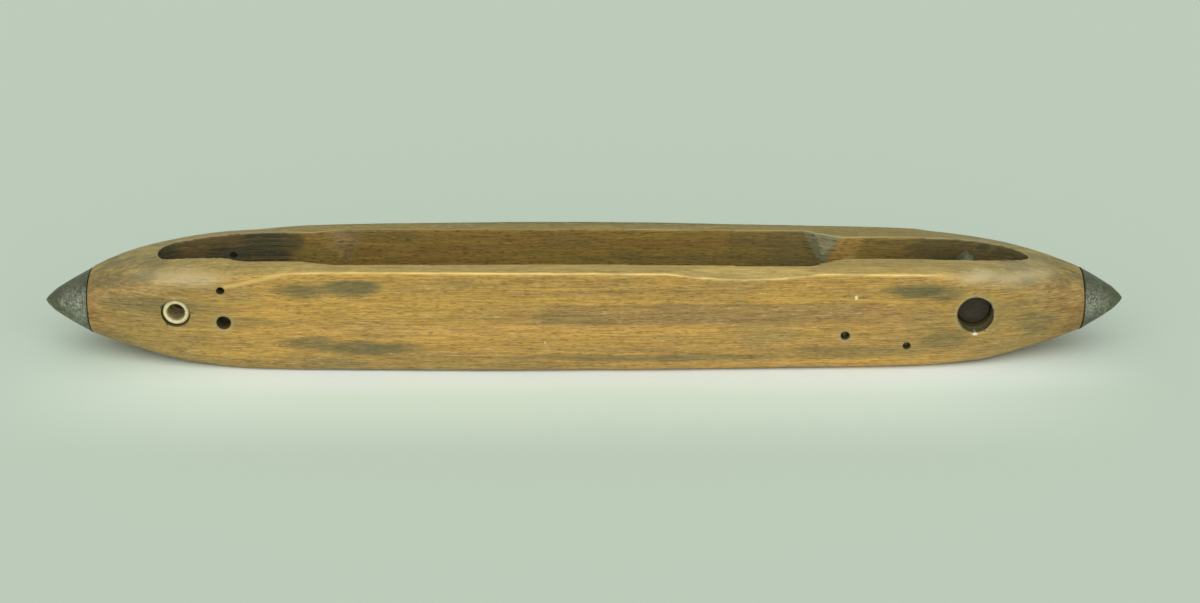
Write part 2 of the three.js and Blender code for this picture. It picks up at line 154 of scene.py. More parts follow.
def eased(made, passes):
    """The vertex positions of a piece after rubbing it smooth."""
    rub = made.modifiers.new("Rub", "SMOOTH")
    rub.factor = 0.5
    rub.iterations = passes
    seen = made.evaluated_get(bpy.context.evaluated_depsgraph_get())
    rubbed = places(seen.data).copy()
    made.modifiers.remove(rub)
    return rubbed


def bore_of(node):
    """Centre and radius of the round hole that a node sits in, along Y."""
    low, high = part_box(node)
    middle = (low + high) / 2
    return middle.x, middle.z, (high.z - low.z) / 2 + bore_clearance


rest_hole = bore_of("rest_pin")
pivot_hole = bore_of("pivot_pin")
eye_hole = bore_of("yarn_eye")
dowel_hole = bore_of("spring_dowel")
dowel_x, dowel_z, dowel_bore = dowel_hole
worn_lip = (dowel_x + 0.4 * millimetre, dowel_z - 1.1 * millimetre, dowel_bore - 0.1 * millimetre)
bores = [
    (rest_hole, (near_wall, far_wall)),
    (pivot_hole, (near_wall, far_wall)),
    (dowel_hole, (near_wall, far_wall)),
    (eye_hole, (near_wall,)),
    (cord_hole, (near_wall, far_wall)),
    (draw_hole, (near_wall,)),
]

carving = bmesh.new()
carving.from_mesh(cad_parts["shuttle_body"].data)
bmesh.ops.remove_doubles(carving, verts=carving.verts, dist=merge_distance)
for (x, z, radius), _ in bores:
    bore_walls = []
    for face in carving.faces:
        centre = face.calc_center_median()
        if abs(face.normal.y) < 0.5 and hypot(centre.x - x, centre.z - z) < radius * 1.01:
            bore_walls.append(face)
    bmesh.ops.delete(carving, geom=bore_walls, context="FACES")
rims = [edge for edge in carving.edges if edge.is_boundary]
bmesh.ops.holes_fill(carving, edges=rims, sides=0)
bmesh.ops.recalc_face_normals(carving, faces=carving.faces)
wall_finder = BVHTree.FromBMesh(carving)

body = as_piece("Beech_Body", carving)
remesh = body.modifiers.new("Carve", "REMESH")
remesh.mode = "VOXEL"
remesh.voxel_size = carving_step
settle(body)


def facing_in(place, outward):
    """How far each point faces the middle of the shuttle, as the walls of the pocket do."""
    inward = -np.sign(place[:, :2]) * outward[:, :2]
    return np.clip((inward.max(axis=1) - 0.15) / 0.35, 0, 1)


def blurred(mesh, values, passes):
    """Spreads one number a vertex to its neighbours."""
    ends = np.empty(len(mesh.edges) * 2, np.int32)
    mesh.edges.foreach_get("vertices", ends)
    first, second = ends.reshape(-1, 2).T
    count = np.bincount(ends, minlength=len(values))
    for _ in range(passes):
        around = np.bincount(first, values[second], len(values))
        around += np.bincount(second, values[first], len(values))
        values = 0.5 * values + 0.5 * around / count
    return values


in_pocket = facing_in(places(body.data), normals(body.data))
rim = np.clip(blurred(body.data, in_pocket, rim_reach_passes) * 4, 0, 1)[:, None]
surface = eased(body, edge_easing_passes) * (1 - rim) + eased(body, rim_easing_passes) * rim
put(body.data, surface)
outward = normals(body.data)
rubbed_away = ((surface - eased(body, wear_reach_passes)) * outward).sum(axis=1)
worn = np.clip(rubbed_away / wear_full_depth, -1, 1)
note(body.data, "worn", worn)

shift = np.zeros(len(surface))
finder = kdtree.KDTree(len(surface))
for index, place in enumerate(surface):
    shift[index] = hand_wobble * noise.noise(Vector(place) * wobbles_a_metre)
    finder.insert(place, index)
finder.balance()

random.seed(11)
edges_to_knock = np.flatnonzero(worn > knocked_where_worn_past)
for _ in range(knocks):
    struck = Vector(surface[random.choice(edges_to_knock)])
    reach = random.uniform(*least_and_most_knock_reach) * millimetre
    depth = random.uniform(*least_and_most_knock_depth) * millimetre
    for _, index, distance in finder.find_range(struck, reach):
        shift[index] -= depth * (1 - (distance / reach) ** 2) ** 2
put(body.data, surface + outward * shift[:, None])

thin = body.modifiers.new("Thin", "DECIMATE")
thin.ratio = body_triangles / (2 * len(body.data.polygons))
settle(body)


def turned(profile, axis, centre, steps, shape=None):
    """Spins [along, radius] points about an axis through a centre, as on a lathe."""
    shape = shape or bmesh.new()
    along = Vector((1, 0, 0)) if axis == "X" else Vector((0, 1, 0))
    outwards = Vector((0, 0, 1))
    verts = [shape.verts.new(centre + along * s + outwards * r) for s, r in profile]
    edges = [shape.edges.new(pair) for pair in zip(verts, verts[1:])]
    bmesh.ops.spin(
        shape, geom=verts + edges, cent=centre, axis=along, angle=2 * pi, steps=steps,
        use_merge=True)
    bmesh.ops.remove_doubles(shape, verts=shape.verts, dist=pole_merge_distance)
    bmesh.ops.recalc_face_normals(shape, faces=shape.faces)
    return shape


def drill_bit(bore, wall, depth=None, shape=None):
    """What a bore takes out of one wall, right through or to a depth, with its lip eased."""
    x, z, radius = bore
    hit = wall_finder.ray_cast(Vector((x, wall * clear_of_walls, z)), Vector((0, -wall, 0)))[0]
    face = wall * abs(hit.y)
    inner = face - wall * depth if depth else wall * bit_end_from_middle
    profile = [
        (inner, 0),
        (inner, radius),
        (face - wall * bore_lip, radius),
        (face + wall * bore_lip, radius + 2 * bore_lip),
        (face + wall * bit_past_wall, radius + 2 * bore_lip),
        (face + wall * bit_past_wall, 0),
    ]
    return turned(profile, "Y", Vector((x, 0, z)), bore_steps, shape)


def cut_away(made, shape):
    """Takes a shape out of a piece."""
    cutter = as_piece("Cutter", shape)
    drill = made.modifiers.new("Drill", "BOOLEAN")
    drill.operation = "DIFFERENCE"
    drill.object = cutter
    drill.solver = "MANIFOLD"
    settle(made)
    bpy.data.objects.remove(cutter)


bits = bmesh.new()
for bore, walls in bores:
    for wall in walls:
        drill_bit(bore, wall, shape=bits)
cut_away(body, bits)
cut_away(body, drill_bit(worn_lip, near_wall, worn_lip_depth))
smoothly(body, 50)

place = places(body.data)
facing = normals(body.data)
# Marks the walls of the bores, which are painted dark as shade.
bore_shade = np.zeros(len(place))
for (x, z, radius), walls in [*bores, (worn_lip, (near_wall,))]:
    within = np.hypot(place[:, 0] - x, place[:, 2] - z) < radius + on_bore_wall
    bore_shade[within & np.isin(np.sign(place[:, 1]), walls)] = 1
note(body.data, "bore_shade", bore_shade)
pocket_floor = (facing[:, 2] > 0.5) & (place[:, 2] < pocket_floor_below)
note(body.data, "inside", np.maximum(facing_in(place, facing), pocket_floor))
note(body.data, "upward", np.clip(facing[:, 2], 0, 1))
# The brow band, pale wear and painted highlight, lies where the surface faces up at the slope that
# catches the overhead lamp.
on_brow = np.exp(-((facing[:, 2] - brow_slope) / brow_slope_spread) ** 2)
note(body.data, "worn_and_highlit_brow", on_brow * (np.abs(place[:, 1]) > brow_out_from_middle))


def colour(red, green, blue):
    """A colour written as it shows on a screen, in 0 to 255, as the shader's linear one."""
    screen = [channel / 255 for channel in (red, green, blue)]
    return (*[c / 12.92 if c <= 0.04045 else ((c + 0.055) / 1.055) ** 2.4 for c in screen], 1)


class Shade:
    """A number or colour that varies over a surface. Arithmetic on a number adds Math nodes."""

    def __init__(self, finish, socket):
        self.finish = finish
        self.socket = socket

    def worked(self, operation, *values):
        return self.finish.node("ShaderNodeMath", {"operation": operation}, dict(enumerate(values)))

    def __add__(self, other):
        return self.worked("ADD", self, other)

    def __sub__(self, other):
        return self.worked("SUBTRACT", self, other)

    def __rsub__(self, other):
        return self.worked("SUBTRACT", other, self)

    def __mul__(self, other):
        return self.worked("MULTIPLY", self, other)

    def __truediv__(self, other):
        return self.worked("DIVIDE", self, other)

    def __abs__(self):
        return self.worked("ABSOLUTE", self)

    __radd__ = __add__
    __rmul__ = __mul__

    def rise(self, low, high, top=1.0):
        """Nothing up to low, then a smooth rise to top at high."""
        settings = {"interpolation_type": "SMOOTHSTEP"}
        sockets = {"Value": self, "From Min": low, "From Max": high, "To Max": top}
        return self.finish.node("ShaderNodeMapRange", settings, sockets)

    def or_more(self, other):
        return self.worked("MAXIMUM", self, other)


class Finish:
    """The surface of a piece: its colour, gloss and fine relief. Its places are in millimetres."""

    def __init__(self, name):
        self.material = bpy.data.materials.new(name)
        self.material.use_nodes = True
        self.tree = self.material.node_tree
        self.shader = self.tree.nodes["Principled BSDF"]
        metres = self.node("ShaderNodeTexCoord", output="Object")
        self.place = self.stretched(metres, (1000, 1000, 1000))

    def node(self, kind, settings=None, sockets=None, output=0):
        made = self.tree.nodes.new(kind)
        for name, value in (settings or {}).items():
            setattr(made, name, value)
        for name, value in (sockets or {}).items():
            self.plug(made, name, value)
        return Shade(self, made.outputs[output])

    def plug(self, made, name, value):
        if isinstance(value, Shade):
            self.tree.links.new(value.socket, made.inputs[name])
        else:
            made.inputs[name].default_value = value

    def stretched(self, vector, by):
        return self.node("ShaderNodeVectorMath", {"operation": "MULTIPLY"}, {0: vector, 1: by})

    def moved(self, vector, by):
        return self.node("ShaderNodeVectorMath", {"operation": "ADD"}, {0: vector, 1: by})

    def axis(self, name):
        return self.node("ShaderNodeSeparateXYZ", {}, {"Vector": self.place}, name)

    def read(self, name):
        return self.node("ShaderNodeAttribute", {"attribute_name": name}, output="Fac")

    def noise(self, across, detail=3, roughness=0.5, start=0, vector=None):
        """Noise from 0 to 1, with so many waves a millimetre along X, Y and Z."""
        spot = self.moved(self.stretched(vector or self.place, across), (start, start, start))
        sockets = {"Vector": spot, "Scale": 1, "Detail": detail, "Roughness": roughness}
        return self.node("ShaderNodeTexNoise", {}, sockets)

    def mix(self, share, first, second, blend="MIX"):
        settings = {"data_type": "RGBA", "blend_type": blend}
        return self.node("ShaderNodeMix", settings, {0: share, 6: first, 7: second}, 2)

    def away(self, centre, reach=(1, 0, 1)):
        """The distance from a centre, in shares of a reach each way. A reach of 0 is endless."""
        offset = self.moved(self.place, [-value for value in centre])
        scaled = self.stretched(offset, [1 / value if value else 0 for value in reach])
        return self.node("ShaderNodeVectorMath", {"operation": "LENGTH"}, {0: scaled}, "Value")

    def spot(self, centre, reach, ragged, edge=0.45):
        """A soft stain: 1 at its centre, with a ragged edge at its reach."""
        return 1 - (self.away(centre, reach) + ragged).rise(1 - edge, 1 + edge)

    def marks(self, stains, ragged):
        """Soft stains on a wall. Each has its x and z, its reach along and up, and its strength."""
        strongest = 0
        for x, z, length, tall, strength in stains:
            mark = self.spot((x, 0, z), (length, 0, tall), ragged) * strength
            strongest = mark.or_more(strongest)
        return strongest

    def surface(self, **sockets):
        names = {"base": "Base Color", "roughness": "Roughness", "metallic": "Metallic",
                 "normal": "Normal", "coat": "Coat Weight", "coat_roughness": "Coat Roughness"}
        for name, value in sockets.items():
            self.plug(self.shader, names[name], value)
        return self.material

    def relief(self, height, depth):
        """Fine relief of a depth in millimetres."""
        return self.node("ShaderNodeBump", {}, {"Height": height, "Distance": depth * millimetre})


class Beech(Finish):
    """The body's surface, with the places, the grain and the clouds that its marks share."""

    def __init__(self, name):
        super().__init__(name)
        self.x = self.axis("X")
        self.y = self.axis("Y")
        self.z = self.axis("Z")
        self.inside = self.read("inside").rise(0.3, 0.7)
        self.upward = self.read("upward")
        self.front = (0 - self.y).rise(2, 8)

        across_walls = self.stretched(self.place, (1, 0.15, 1))
        across_top = self.stretched(self.place, (1, 1, 0.15))
        grain = self.node(
            "ShaderNodeMix", {"data_type": "VECTOR"},
            {0: self.upward.rise(0.55, 0.85), 4: across_walls, 5: across_top}, 1)
        self.streaks = self.noise((0.014, 0.65, 0.65), 3, 0.6, 17, grain)
        self.fibres = self.noise((0.10, 2.3, 2.3), 4, 0.65, 29, grain)
        self.pores = self.noise((0.40, 2.8, 2.8), 2, 0.6, 41, grain)
        self.glints = self.noise((0.36, 2.4, 2.4), 3, 0.65, 53, grain)
        self.cloud = self.noise((0.05, 0.18, 0.18), 3, 0.6, 71)
        self.patches = self.noise((0.07, 0.3, 0.3), 3, 0.6, 83)
        self.ragged = (self.cloud - 0.5) * 1.6

        on_top = (self.upward * abs(self.x).rise(128, 150)).rise(0.3, 0.7)
        self.dark_top = on_top * self.patches.rise(0.35, 0.6)
        self.grime = self.hand_grime()

    def hand_grime(self):
        """Where dark stains lie: in known places on the front wall, and anywhere on the back."""
        stains = [
            (-93, 30.0, 9, 2.6, 0.70),
            (-78, 31.2, 10, 3.0, 0.85),
            (-92, 10.6, 10, 2.2, 0.70),
            (-74, 8.6, 16, 2.8, 0.85),
            (-141, 22.8, 20, 2.8, 0.50),
            (-112, 18.5, 14, 1.8, 0.35),
            (112, 28.6, 10, 2.4, 0.90),
            (120, 27.4, 7, 2.2, 0.70),
            (121, 11.5, 8, 3.2, 0.60),
            (153, 15.0, 6, 4.0, 0.50),
            (-6, 21.0, 10, 2.6, 0.35),
            (88, 7.0, 26, 2.0, 0.55),
            (-60, 3.0, 75, 3.0, 0.45),
            (30, 5.4, 60, 1.5, 0.60),
        ]
        on_front = self.marks(stains, self.ragged) * self.front
        on_back = self.noise((0.012, 0.07, 0.07), 2, 0.5, 91).rise(0.55, 0.75) * 0.7
        return on_front + on_back * (1 - self.front)


def oiled_wood(wood):
    """Golden wood in bands and streaks, browner on the noses and red beside the points."""
    x, z = wood.x, wood.z
    bands = wood.noise((0.005, 0.16, 0.16), 2, 0.5, 3)
    blotches = wood.noise((0.03, 0.10, 0.10), 3, 0.6, 67)
    base = wood.mix(bands.rise(0.35, 0.65), colour(196, 155, 75), colour(215, 170, 75))
    base = wood.mix(wood.streaks.rise(0.48, 0.72) * 0.5, base, colour(222, 170, 80))
    base = wood.mix((1 - wood.streaks).rise(0.5, 0.72) * 0.5, base, colour(156, 128, 78))
    base = wood.mix(blotches.rise(0.5, 0.7) * 0.45, base, colour(152, 138, 86))

    nose = abs(x).rise(98, 150)
    base = wood.mix(nose * (0.3 + 0.4 * wood.cloud), base, colour(154, 136, 80))
    red_end = abs(x).rise(150, 168) * wood.cloud.rise(0.35, 0.65)
    base = wood.mix(red_end * 0.7, base, colour(154, 106, 50))
    base = wood.mix(wood.dark_top * 0.85, base, colour(104, 96, 54))

    low_band = z.rise(16.5, 19) * (1 - z.rise(25.0, 25.5)) * x.rise(-50, 10) * (1 - x.rise(85, 120))
    base = wood.mix(low_band * wood.front * 0.5, base, colour(150, 122, 84))
    light_band = wood.spot((-28, 0, 15.6), (72, 0, 2.2), wood.ragged * 0.6) * wood.front
    return wood.mix(light_band * 0.5, base, colour(228, 178, 92))


def worn_deck(wood, base):
    """The flat top, greyer than the walls, and green along its far edge."""
    deck = wood.upward.rise(0.55, 0.95) * (1 - wood.inside)
    deck = deck * (1 - 0.7 * wood.dark_top)
    base = wood.mix(deck * (0.45 + 0.4 * wood.cloud), base, colour(150, 139, 72))
    far_edge = wood.mix(wood.y.rise(17.5, 20.5), colour(138, 120, 54), colour(100, 105, 60))
    return wood.mix(deck * wood.y.rise(8, 12) * 0.8, base, far_edge)


def dry_wood(wood):
    """The wood of the pocket: unoiled, darker in its slots with stains and painted shade, and grey on
    the two cut facets.
    """
    x, y, z = wood.x, wood.y, wood.z
    dry = wood.mix(wood.streaks.rise(0.4, 0.62), colour(168, 144, 60), colour(160, 126, 58))
    dry = wood.mix(wood.cloud.rise(0.45, 0.7) * 0.6, dry, colour(124, 118, 66))
    dry = wood.mix(x.rise(45, 75) * (1 - x.rise(84, 90)) * 0.6, dry, colour(112, 108, 68))
    # The left slot is darker: partly stains, partly painted shade of its depth.
    slot_dark_and_shaded = (1 - x.rise(-106, -96)) * (0.6 + 0.3 * wood.patches)
    dry = wood.mix(slot_dark_and_shaded, dry, colour(100, 86, 54))
    # Dark patches in the slots: some are stains, some are painted shade in their depths.
    slot_stains_and_shade = [
        (-147, 30, 9, 9, 0.90),
        (-134, 27, 12, 4, 0.70),
        (-123, 29, 9, 5, 0.90),
        (-111, 28, 9, 12, 0.95),
        (-101, 33, 4, 3, 0.75),
        (128, 30, 18, 8, 0.65),
        (137, 33, 4, 2.5, 0.90),
        (148, 30, 12, 8, 0.80),
    ]
    dry = wood.mix(wood.marks(slot_stains_and_shade, wood.ragged), dry, colour(72, 76, 54))

    right_half = x.rise(-1, 1)
    facet_half_width = 6.5 * ((z - 25) / 12)
    facet = 1 - (abs(abs(x) - 82) - facet_half_width).rise(-0.6, 1.0)
    cut_grain = wood.mix(right_half, colour(156, 138, 92), colour(148, 150, 112))
    dry = wood.mix(facet * y.rise(4, 8) * (0.6 + 0.25 * right_half), dry, cut_grain)
    slant = x - 0.5 * (z - 31)
    lit_cheek = slant.rise(84.5, 86.5) * (1 - slant.rise(93, 96)) * y.rise(2, 5)
    return wood.mix(lit_cheek * (0.4 + 0.6 * wood.patches), dry, colour(212, 172, 88))


def grain_marks(wood, base):
    """Tool marks in the pocket, dark pores, pale fibres where the light catches, and fine grain."""
    mill_lines = wood.noise((0.004, 0.1, 3.4), 1, 0.5, 97).rise(0.58, 0.7)
    base = wood.mix(mill_lines * wood.inside * 0.45, base, colour(178, 140, 68))
    pore_marks = (1 - wood.pores).rise(0.50, 0.68) * (0.55 + 0.25 * wood.inside)
    base = wood.mix(pore_marks, base, colour(100, 76, 36))
    lit_fibres = wood.glints.rise(0.52, 0.75) * (0.48 - 0.3 * wood.inside) * (1 - 0.6 * wood.grime)
    base = wood.mix(lit_fibres, base, colour(244, 213, 154))
    shading = wood.mix(wood.fibres.rise(0.28, 0.66), colour(196, 192, 182), colour(255, 255, 255))
    return wood.mix(0.95, base, shading, "MULTIPLY")


def edge_wear_and_painted_light(wood, base):
    """Pale wear with a painted highlight on the brow and rims, painted sheen on the noses, darker
    creases.
    """
    x, z = wood.x, wood.z
    outside = 1 - wood.inside
    worn_away = wood.read("worn")
    # Painted highlight, with pale wear, along the brow of the front wall.
    worn_and_highlit_brow = wood.read("worn_and_highlit_brow") * outside * wood.front * x.rise(-106, -90) * (1 - x.rise(110, 130))
    worn_and_highlit_brow = worn_and_highlit_brow * (0.3 + 1.1 * wood.patches.rise(0.25, 0.7))
    base = wood.mix(worn_and_highlit_brow, base, colour(246, 212, 124))
    # Painted highlight along the left end of the brow, running down towards the cord hole.
    left_brow_highlight = 1 - abs(z - 30.6 - 0.24 * (x + 121.5)).rise(0.2, 1.2)
    left_brow_highlight = left_brow_highlight * x.rise(-122, -119) * (1 - x.rise(-106, -94)) * wood.front * outside
    base = wood.mix(left_brow_highlight * 0.7, base, colour(232, 194, 112))

    # Painted sheen: pale patches on the shoulders of the noses, where the overhead lamp would be
    # reflected.
    painted_sheen = wood.spot((-133, -16, 32.8), (13, 7, 2.2), wood.ragged, 0.9) * 0.42
    painted_sheen = painted_sheen.or_more(wood.spot((132, -16, 33.0), (6, 5, 1.3), wood.ragged, 0.9) * 0.6)
    painted_sheen = painted_sheen.or_more(wood.spot((145, -11, 31.6), (15, 8, 2.0), wood.ragged, 0.9) * 0.42)
    base = wood.mix(painted_sheen * outside * (0.5 + wood.fibres), base, colour(206, 192, 146))
    # Pale rims: worn edges, partly a painted highlight, as they are paler only where they face up.
    worn_and_highlit_rim = worn_away.rise(0.5, 1.0) * wood.upward.rise(0.3, 0.8) * (1 - worn_and_highlit_brow)
    base = wood.mix(worn_and_highlit_rim * 0.3, base, colour(186, 184, 138))
    # Darker in the hollows and creases.
    crease_darkening = (0 - worn_away).rise(0.2, 1.0)
    return wood.mix(crease_darkening * 0.6, base, colour(58, 48, 30))


def hole_marks(wood, base):
    """Pale rings round three holes, where use has rubbed them, painted shade in the bores, a painted
    highlight and two white specks.
    """
    for x, z, radius in (rest_hole, dowel_hole, draw_hole):
        past_bore = wood.away((x / millimetre, 0, z / millimetre)) - radius / millimetre - 0.8
        ring = 1 - abs(past_bore).rise(0.1, 1.0)
        base = wood.mix(ring * wood.front * (0.2 + 0.5 * wood.patches), base, colour(166, 156, 112))
    # Painted shade on the walls of the bores.
    base = wood.mix(wood.read("bore_shade").rise(0.8, 0.98, 0.85), base, colour(64, 60, 34))
    # A painted highlight on the worn lower lip of the dowel hole, and two small white specks on the
    # front.
    glint_and_specks = [
        (131.9, 12.6, 0.8, 0.45, 0.9),
        (91, 27.2, 0.5, 0.7, 0.9),
        (-13, 11.5, 0.3, 0.6, 0.4),
    ]
    glint_and_speck_marks = wood.marks(glint_and_specks, wood.ragged * 0.5) * wood.front
    return wood.mix(glint_and_speck_marks, base, colour(244, 236, 200))


def beech_finish():
    """Oiled beech outside, dry wood inside, with the marks of use. It is glossiest where handled."""
    wood = Beech("Worn_Beech")
    base = oiled_wood(wood)
    base = wood.mix(wood.grime * (1 - wood.inside), base, colour(112, 108, 68))
    base = worn_deck(wood, base)
    base = wood.mix(wood.inside, base, dry_wood(wood))
    base = grain_marks(wood, base)
    base = edge_wear_and_painted_light(wood, base)
    base = hole_marks(wood, base)
    unhandled = abs(abs(wood.x) - 135).rise(0, 34)
    gloss = 0.40 + 0.12 * unhandled + 0.24 * wood.inside
    gloss = gloss + 0.12 * (wood.cloud - 0.5) + 0.10 * (wood.fibres - 0.5)
    height = wood.fibres * 0.5 + wood.pores * 0.5
    return wood.surface(base=base, roughness=gloss, normal=wood.relief(height, 0.05))


body.data.materials.clear()
body.data.materials.append(beech_finish())
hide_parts("shuttle_body")
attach(body, "shuttle")


# Steel points. Each is turned from mild steel, with a tang driven into the end grain. They are grey
# and pitted all over, and a little brighter beside the seam, where the wood keeps them rubbed.
tang_length = 13 * millimetre
tang_edge = 0.6 * millimetre
point_edge = 0.25 * millimetre
point_blunt = 0.25 * millimetre
point_dents = 0.07 * millimetre
point_dents_a_metre = 420
point_steps = 96
point_outline_steps = 5
# How far along the point each place is, and how thick it is there, in shares of length and radius.
point_outline = [
    (0.013, 1),
    (0.13, 0.9),
    (0.4, 0.685),
    (0.67, 0.45),
    (0.8, 0.32),
    (0.93, 0.145),
    (0.98, 0.055),
]


def curved(points, steps):
    """A smooth line through points, with so many steps between two of them."""
    points = [Vector(point) for point in points]
    padded = [points[0], *points, points[-1]]
    line = [points[0]]
    for before, start, end, after in zip(padded, padded[1:], padded[2:], padded[3:]):
        for step in range(1, steps + 1):
            t = step / steps
            pull = (end - before) * t
            bend = (2 * before - 5 * start + 4 * end - after) * t ** 2
            twist = (3 * start - before - 3 * end + after) * t ** 3
            line.append(0.5 * (2 * start + pull + bend + twist))
    return line


def battered(shape, depth, waves, start):
    """Pushes the surface of a shape in and out by a depth, with so many waves a metre."""
    shape.normal_update()
    for vert in shape.verts:
        vert.co += vert.normal * (depth * noise.noise(vert.co * waves + Vector((start, 0, 0))))


def steel_finish(name, light, dark, rust, shine, scale=1.0, wear_and_shade=None):
    """Old steel: grey, mottled, with brown specks and fine scratches, and any wear and painted shade
    of its own.
    """
    steel = Finish(name)
    mottle = steel.noise((0.55 * scale,) * 3, 5, 0.72, 7)
    patches = steel.noise((0.16 * scale,) * 3, 2, 0.5, 23)
    specks = steel.noise((2.6 * scale,) * 3, 2, 0.6, 31)
    scratches = steel.noise((0.5 * scale, 6.0 * scale, 6.0 * scale), 2, 0.6, 43)
    base = steel.mix(mottle.rise(0.40, 0.60), dark, light)
    base = steel.mix(patches.rise(0.45, 0.7) * 0.5, base, dark)
    base = steel.mix(specks.rise(0.6, 0.72) * 0.6, base, rust)
    if wear_and_shade:
        base = wear_and_shade(steel, base)
    rough = 0.42 + 0.25 * mottle - 0.12 * scratches
    height = specks * 0.6 + mottle * 0.3 + scratches * 0.1
    return steel.surface(
        base=base, roughness=rough, metallic=shine, normal=steel.relief(height, 0.06))


def seam_wear_and_shade(steel, base):
    """Light flecks beside the seam, painted shade along the top and the underside, and dark steel at
    the tip.
    """
    axis_height = 17.3
    tip_reach = 186
    thickening = 0.72
    out = abs(steel.axis("X"))
    cloud = steel.noise((0.3, 0.3, 0.3), 3, 0.6, 61)
    flecks = steel.noise((1.5, 1.5, 1.5), 3, 0.65, 73)
    ragged = (cloud - 0.5) * 1.2
    up = (steel.axis("Z") - axis_height) / (thickening * (tip_reach - out))
    # Painted shade along the top of the point.
    base = steel.mix((up + ragged * 0.3).rise(0.3, 0.7) * 0.7, base, colour(72, 74, 56))
    # Painted shade along the underside of the point.
    base = steel.mix((0 - up + ragged * 0.3).rise(0.5, 0.9) * 0.5, base, colour(84, 88, 64))
    base = steel.mix((out + ragged * 2).rise(177, 183) * 0.6, base, colour(84, 88, 60))
    for side in (-1, 1):
        rubbed = steel.spot((171.0 * side, -9, 19.0), (6.0, 10, 4.5), ragged, 0.8)
        base = steel.mix(rubbed * flecks.rise(0.42, 0.62) * 0.75, base, colour(182, 184, 170))
    return steel.mix((1 - flecks).rise(0.52, 0.7) * 0.5, base, colour(70, 68, 52))


point_steel = steel_finish(
    "Pitted_Steel", colour(140, 144, 122), colour(84, 88, 66), colour(78, 68, 46), 0.5, 1.1, seam_wear_and_shade)

for name, node, outward in (("Right_Point", "right_tip", 1), ("Left_Point", "left_tip", -1)):
    low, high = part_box(node)
    radius = (high.z - low.z) / 2
    point_length = (high.x - low.x) - tang_length
    seam = (high.x if outward > 0 else low.x) - outward * point_length
    outline = curved(point_outline, point_outline_steps)
    line = [Vector((at.x * point_length, at.y * radius)) for at in outline]
    line[0:1] = [
        Vector((line[0].x, radius - point_edge)),
        Vector((line[0].x + 0.3 * point_edge, radius - 0.35 * point_edge)),
        Vector((line[0].x + point_edge, radius - 0.75 * point_edge)),
    ]
    tang_radius = radius / 3
    profile = [
        (-tang_length, 0),
        (-tang_length, tang_radius - tang_edge),
        (-tang_length + tang_edge, tang_radius),
        (line[0].x, tang_radius),
        *[(at.x, at.y) for at in line],
        (point_length - 0.2 * point_blunt, point_blunt),
        (point_length, 0),
    ]
    centre = Vector((seam, 0, (low.z + high.z) / 2))
    point = turned([(outward * along, out) for along, out in profile], "X", centre, point_steps)
    battered(point, point_dents, point_dents_a_metre, outward)
    point = as_piece(name, point)
    smoothly(point, 40)
    point.data.materials.append(point_steel)
    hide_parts(node)
    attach(point, "shuttle")


# Yarn eye. A ring of glazed earthenware, set in a bore through the front wall, for the yarn to run
# out of. Its lips are rounded, and the glaze is stained yellow in the bore.
eye_bore = 2.8 * millimetre
eye_dents = 0.05 * millimetre
eye_dents_a_metre = 500
eye_steps = 72
eye_lip_steps = 10

low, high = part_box("yarn_eye")
eye_centre = Vector(((low.x + high.x) / 2, 0, (low.z + high.z) / 2))
lip = ((high.z - low.z) / 2 - eye_bore) / 2
front_lip = []
for step in range(eye_lip_steps + 1):
    angle = pi * step / eye_lip_steps
    front_lip.append((low.y + lip - lip * sin(angle), eye_bore + lip - lip * cos(angle)))
back_lip = [(high.y - (at - low.y), out) for at, out in reversed(front_lip)]
ring = turned([*front_lip, *back_lip, front_lip[0]], "Y", eye_centre, eye_steps)
battered(ring, eye_dents, eye_dents_a_metre, 3)
ring = as_piece("Glazed_Eye", ring)
smoothly(ring, 60)


def glaze_finish():
    """Cream glaze with fine brown specks, darker in the bore from yarn stain and painted shade, and
    painted shade round its outer edge.
    """
    glaze = Finish("Cream_Glaze")
    away = glaze.away([value / millimetre for value in eye_centre])
    bore = 1 - away.rise(2.9, 3.5)
    cloud = glaze.noise((0.5, 0.5, 0.5), 3, 0.5, 9)
    specks = glaze.noise((2.2, 2.2, 2.2), 2, 0.5, 19)
    base = glaze.mix(cloud.rise(0.35, 0.7), colour(250, 240, 198), colour(236, 220, 158))
    # Darker bore: partly yarn stain, partly painted shade.
    base = glaze.mix(bore * (0.5 + 0.5 * cloud), base, colour(132, 116, 60))
    base = glaze.mix(specks.rise(0.62, 0.72) * 0.5, base, colour(120, 100, 60))
    # Painted shade round the outer edge, where the ring sits in the wood.
    base = glaze.mix(away.rise(4.3, 4.7) * 0.5, base, colour(140, 120, 72))
    return glaze.surface(base=base, roughness=0.22, coat=0.4, coat_roughness=0.08)


ring.data.materials.append(glaze_finish())
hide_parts("yarn_eye")
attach(ring, "shuttle")


# Pins. Two steel rods pass right across the body: the heel turns on one, and the socket of the
# spindle rests on the other. Their ends are cut off below the surface of the wood.
pin_dents = 0.02 * millimetre
pin_dents_a_metre = 900
pin_steps = 32
pin_steel = steel_finish(
    "Pin_Steel", colour(112, 104, 86), colour(62, 54, 42), colour(92, 58, 34), 0.6, 2.0)

for name, node in (("Heel_Pivot_Pin", "pivot_pin"), ("Spindle_Rest_Pin", "rest_pin")):
    low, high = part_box(node)
    radius = (high.z - low.z) / 2
    dome = 0.25 * radius
    half = [(high.y - 1.2 * dome, radius), (high.y - 0.5 * dome, radius * 0.82), (high.y, 0)]
    profile = [(-at, out) for at, out in reversed(half)] + half
    centre = Vector(((low.x + high.x) / 2, 0, (low.z + high.z) / 2))
    pin = turned(profile, "Y", centre, pin_steps)
    battered(pin, pin_dents, pin_dents_a_metre, 1)
    pin = as_piece(name, pin)
    smoothly(pin, 50)
    pin.data.materials.append(pin_steel)
    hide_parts(node)
    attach(pin, "shuttle")


